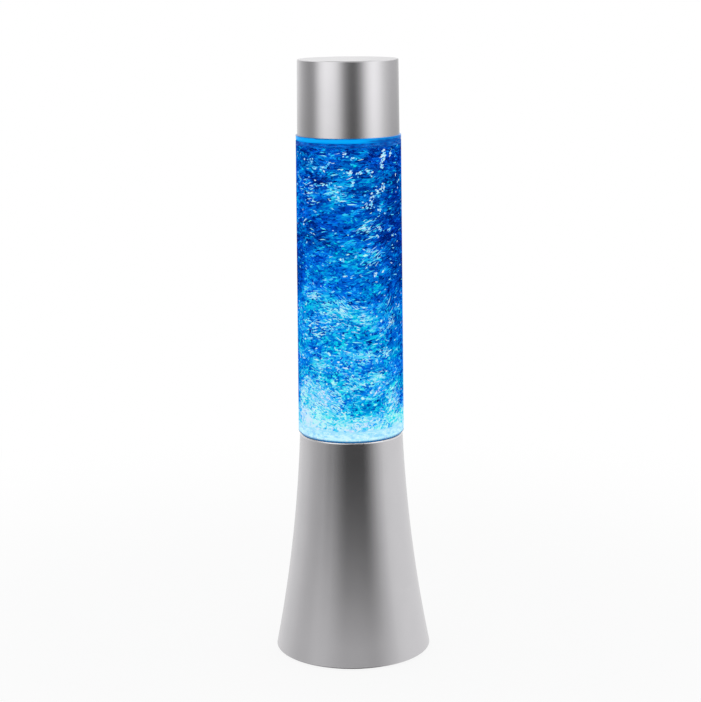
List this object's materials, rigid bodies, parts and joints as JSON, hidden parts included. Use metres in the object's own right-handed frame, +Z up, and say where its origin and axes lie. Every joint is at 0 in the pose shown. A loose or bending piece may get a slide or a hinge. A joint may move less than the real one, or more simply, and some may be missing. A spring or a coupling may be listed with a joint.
{
  "type": "glitter lamp",
  "caption": "Battery glitter lamp: a flared silver base with motor, light and battery well, a clear tube of lit liquid with loose flakes, and a silver cap that lifts off.",
  "frame": {"origin": "centre of the circle on which the feet stand, on the table", "axes": "+Z up along the lamp's axis, -Y towards the viewer"},
  "size_m": [0.1052, 0.1052, 0.4],
  "materials": {
    "silver_paint": "moulded plastic with satin silver metallic paint",
    "black_plastic": "moulded, fine matt grain",
    "white_plastic": "moulded, smooth",
    "clear_plastic": "clear, polished",
    "blue_liquid": "clear blue liquid, lit from below",
    "flake_foil": "cut foil, mirror-like",
    "black_rubber": "moulded rubber",
    "seal_rubber": "soft seal rubber",
    "zinc_steel": "zinc plated",
    "ground_steel": "ground steel",
    "spring_steel": "nickel plated spring steel",
    "motor_steel": "drawn sheet, plated",
    "lamination": "stacked laminations",
    "ferrite": "sintered ferrite",
    "nickel_magnet": "nickel plated magnet",
    "cell_can": "sleeved battery can",
    "tinned_brass": "tinned brass",
    "bush_bronze": "sintered bronze",
    "switch_case": "moulded switch case",
    "knob_plastic": "moulded, slightly glossy",
    "board_laminate": "coated circuit board",
    "component_black": "moulded component cases",
    "diode_lens": "clear moulded lens",
    "lead_insulation": "soft wire insulation"
  },
  "bodies": {
    "base": {"base_shell": "silver_paint", "bottom_plate": "black_plastic", "rubber_feet": "black_rubber", "plate_screws": "zinc_steel", "battery_cells": "cell_can", "battery_contacts": "spring_steel", "battery_springs": "spring_steel", "switch_body": "switch_case", "switch_terminals": "tinned_brass", "control_board": "board_laminate", "board_components": "component_black", "board_screws": "zinc_steel", "tower": "white_plastic", "tower_screws": "zinc_steel", "light_board": "board_laminate", "light_diodes": "diode_lens", "reflector_cup": "white_plastic", "motor_can": "motor_steel", "motor_end_cap": "component_black", "motor_terminals": "tinned_brass", "motor_magnets": "ferrite", "motor_bush": "bush_bronze", "motor_screws": "zinc_steel", "tube_cup": "clear_plastic", "cup_seal": "seal_rubber", "lock_ring": "black_plastic", "seat_gasket": "seal_rubber", "tube": "clear_plastic", "stirrer_pin": "ground_steel", "pin_retainer": "clear_plastic", "liquid": "blue_liquid", "glitter_flakes": "flake_foil", "top_plug": "clear_plastic", "plug_seal": "seal_rubber", "fill_washer": "seal_rubber", "fill_plug": "white_plastic", "motor_leads": "lead_insulation", "battery_leads": "lead_insulation"},
    "cap": {"top_cap": "silver_paint", "cap_sleeve": "black_plastic"},
    "drive_rotor": {"motor_shaft": "ground_steel", "armature": "lamination", "magnet_carrier": "white_plastic", "drive_magnets": "nickel_magnet"},
    "stirrer": {"stirrer": "white_plastic", "stirrer_magnets": "nickel_magnet"},
    "battery_door": {"battery_door": "black_plastic"},
    "switch_slider": {"switch_knob": "knob_plastic"}
  },
  "joints": [
    {"name": "cap_lift", "type": "slide", "parent": "base", "child": "cap", "axis": [0, 0, 1], "range_m": [0, 0.06]},
    {"name": "motor_spin", "type": "hinge", "parent": "base", "child": "drive_rotor", "pos_m": [0, 0, 0.125], "axis": [0, 0, 1], "continuous": true},
    {"name": "stirrer_spin", "type": "hinge", "parent": "base", "child": "stirrer", "pos_m": [0, 0, 0.14], "axis": [0, 0, 1], "continuous": true},
    {"name": "door_hinge", "type": "hinge", "parent": "base", "child": "battery_door", "pos_m": [0, 0.0305, 0.003], "axis": [1, 0, 0], "range_deg": [0, 80]},
    {"name": "switch_slide", "type": "slide", "parent": "base", "child": "switch_slider", "axis": [0, -1, 0], "range_m": [0, 0.004]}
  ],
  "couplings": [
    {"joint": "stirrer_spin", "follows": "motor_spin", "ratio": 1}
  ]
}
